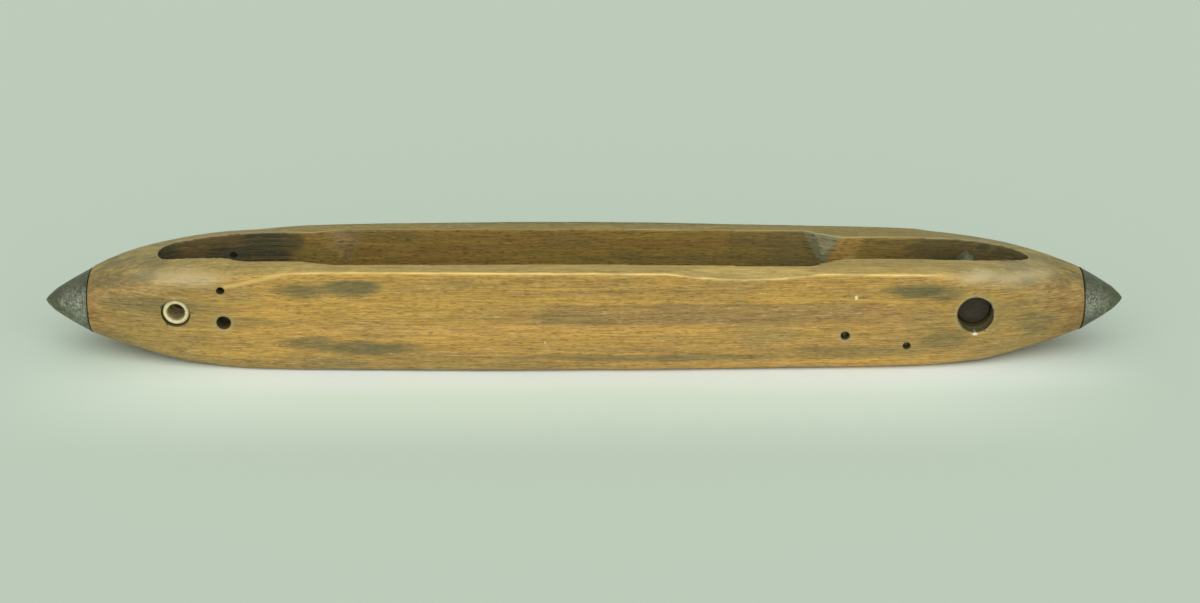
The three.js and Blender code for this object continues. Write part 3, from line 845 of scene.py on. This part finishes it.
# Spring dowel. A short rod of dark hardwood, driven across the heel slot below the surface of the
# front wall. The heel spring is bent round it. Its end shows in the large hole as dark end grain.
dowel_chamfer = 0.5 * millimetre
dowel_dents = 0.05 * millimetre
dowel_dents_a_metre = 600
dowel_steps = 64

low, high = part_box("spring_dowel")
dowel_radius = (high.z - low.z) / 2
half = [
    (high.y - dowel_chamfer, dowel_radius),
    (high.y - 0.2 * dowel_chamfer, dowel_radius - 0.4 * dowel_chamfer),
    (high.y, dowel_radius - 1.4 * dowel_chamfer),
    (high.y, dowel_radius * 0.5),
    (high.y, 0),
]
profile = [(-at, out) for at, out in reversed(half)] + half
dowel = turned(profile, "Y", Vector((dowel_x, 0, dowel_z)), dowel_steps)
battered(dowel, dowel_dents, dowel_dents_a_metre, 5)
dowel = as_piece("Hardwood_Dowel", dowel)
smoothly(dowel, 40)


def dowel_finish():
    """Dark hardwood with its pores across the end and its fibres along Y."""
    wood = Finish("Dark_Hardwood")
    rings = wood.noise((0.35, 0.02, 1.4), 3, 0.5, 13)
    pores = wood.noise((2.4, 0.15, 2.4), 2, 0.6, 37)
    base = wood.mix(rings.rise(0.4, 0.62), colour(66, 54, 38), colour(50, 46, 34))
    base = wood.mix(pores.rise(0.56, 0.7) * 0.7, base, colour(30, 26, 18))
    return wood.surface(base=base, roughness=0.6 + 0.2 * pores, normal=wood.relief(pores, 0.05))


dowel.data.materials.append(dowel_finish())
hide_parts("spring_dowel")
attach(dowel, "shuttle")


# Heel spring. A strip of spring steel that stands against the heel, bends over near the top of the
# slot and goes down round the dowel. It is brown with age, and the raised heel, which bears on it,
# has bent it back a little.
spring_rounding = 0.3 * millimetre
bent_back_height = 16.8 * millimetre
bent_back_reach = 4.8 * millimetre
bent_back = Vector((0.8, 0, -0.6)) * 0.85 * millimetre
flat_within_degrees = 0.5
corner_past_degrees = 35


def softened(node, name, rounding, segments=3):
    """A copy of a node's shape with its doubled points merged and its sharp edges rounded."""
    shape = bmesh.new()
    shape.from_mesh(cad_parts[node].data)
    bmesh.ops.remove_doubles(shape, verts=shape.verts, dist=merge_distance)
    flat = radians(flat_within_degrees)
    bmesh.ops.dissolve_limit(shape, angle_limit=flat, verts=shape.verts, edges=shape.edges)
    sharp = radians(corner_past_degrees)
    corners = [edge for edge in shape.edges if edge.calc_face_angle(0) > sharp]
    bmesh.ops.bevel(
        shape, geom=corners, offset=rounding, offset_type="OFFSET", segments=segments, profile=0.5,
        affect="EDGES", clamp_overlap=True, material=-1)
    made = as_piece(name, shape)
    smoothly(made, 40)
    return made


spring_brown = steel_finish(
    "Brown_Spring_Steel", colour(104, 106, 78), colour(66, 66, 46), colour(80, 62, 38), 0.25, 1.4)
spring = softened("heel_spring", "Heel_Spring_Strip", spring_rounding)
for vert in spring.data.vertices:
    up = (vert.co.z - bent_back_height) / bent_back_reach
    if abs(up) < 1 and vert.co.x < dowel_x:
        vert.co += bent_back * (1 - up * up) ** 2
spring.data.materials.append(spring_brown)
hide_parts("heel_spring")
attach(spring, "shuttle")


# Spindle heel. A steel forging that turns on the pivot pin, with a socket for the spindle and two
# flats, one for each place where the spring holds it.
heel_rounding = 0.45 * millimetre
heel_steel = steel_finish(
    "Forged_Steel", colour(134, 136, 124), colour(70, 70, 60), colour(98, 68, 44), 0.7, 1.2)
heel = softened("spindle_heel", "Forged_Heel", heel_rounding)
heel.data.materials.append(heel_steel)
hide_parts("spindle_heel")
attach(heel, "spindle_arm")


# Spindle. A tapered rod of polished steel, pressed into the socket of the heel, with a groove
# along its top for the grip spring.
spindle_rounding = 0.12 * millimetre
spindle_steel = steel_finish(
    "Polished_Steel", colour(186, 188, 182), colour(132, 134, 126), colour(120, 92, 64), 0.9, 1.6)
spindle = softened("spindle", "Tapered_Spindle", spindle_rounding, segments=2)
spindle.data.materials.append(spindle_steel)
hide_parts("spindle")
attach(spindle, "spindle_arm")


# Grip spring. A thin bowed strip in the groove of the spindle, which a pirn is pushed down over.
# It is of blued spring steel.
grip_rounding = 0.12 * millimetre
grip_steel = steel_finish(
    "Blued_Spring_Steel", colour(128, 130, 128), colour(82, 84, 84), colour(104, 76, 50), 0.8, 2.0)
grip = softened("grip_spring", "Bowed_Grip_Spring", grip_rounding, segments=2)
grip.data.materials.append(grip_steel)
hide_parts("grip_spring")
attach(grip, "spindle_arm")


# Studio. Pale paper under the shuttle and all the way back, one broad soft lamp overhead, one in
# front, and a little even light from all round. A pool of light is painted on the paper just in
# front of the shuttle and under it, where its shadow would fall.
paper_half_width = 6

paper = bmesh.new()
bmesh.ops.create_grid(paper, x_segments=1, y_segments=1, size=paper_half_width)
floor = as_piece("Floor", paper)
sheet = Finish("Pale_Paper")
across = sheet.axis("X")
ahead = 0 - sheet.axis("Y")
# Painted glow on the paper along the front of the shuttle.
painted_glow_ahead = ahead.rise(-22, 4) * (1 - ahead.rise(18, 84))
along = 1 - abs(across + 8).rise(105, 210)
paper_and_painted_light = sheet.mix(painted_glow_ahead * along, colour(194, 209, 191), colour(226, 242, 224))
under_end = 1 - abs(across - 12).rise(100, 186)
# Painted light on the paper under and just in front of the shuttle, where its shadow falls.
painted_light_under_shuttle = ahead.rise(-22, -8) * (1 - ahead.rise(20, 42)) * under_end
paper_and_painted_light = sheet.mix(painted_light_under_shuttle * 0.85, paper_and_painted_light, colour(246, 255, 252))
floor.data.materials.append(sheet.surface(base=paper_and_painted_light, roughness=0.95))

lamps = [
    ("Overhead_Softbox", (0, -0.26, 0.97), 110, 0.76),
    ("Front_Softbox", (-0.1, -0.87, 0.48), 120, 1.46),
]
for name, towards, spread_angle, strength in lamps:
    lamp = bpy.data.objects.new(name, bpy.data.lights.new(name, "SUN"))
    bpy.context.scene.collection.objects.link(lamp)
    lamp.data.angle = radians(spread_angle)
    lamp.data.energy = strength
    lamp.rotation_euler = Vector(towards).to_track_quat("Z", "Y").to_euler()

world = bpy.data.worlds.new("Room")
bpy.context.scene.world = world
world.use_nodes = True
nodes = world.node_tree.nodes
links = world.node_tree.links
daylight = nodes["Background"]
daylight.inputs["Color"].default_value = (1, 1, 1, 1)
daylight.inputs["Strength"].default_value = 0.44
paper_light = nodes.new("ShaderNodeBackground")
paper_light.inputs["Color"].default_value = colour(191, 204, 188)
seen_by = nodes.new("ShaderNodeLightPath")
mirrored = nodes.new("ShaderNodeMath")
mirrored.operation = "ADD"
links.new(seen_by.outputs["Is Glossy Ray"], mirrored.inputs[0])
links.new(seen_by.outputs["Is Transmission Ray"], mirrored.inputs[1])
seen = nodes.new("ShaderNodeMath")
seen.operation = "ADD"
seen.use_clamp = True
links.new(seen_by.outputs["Is Camera Ray"], seen.inputs[0])
links.new(mirrored.outputs[0], seen.inputs[1])
either = nodes.new("ShaderNodeMixShader")
links.new(seen.outputs[0], either.inputs[0])
links.new(daylight.outputs[0], either.inputs[1])
links.new(paper_light.outputs[0], either.inputs[2])
links.new(either.outputs[0], nodes["World Output"].inputs["Surface"])

bpy.context.scene.view_settings.view_transform = "Standard"
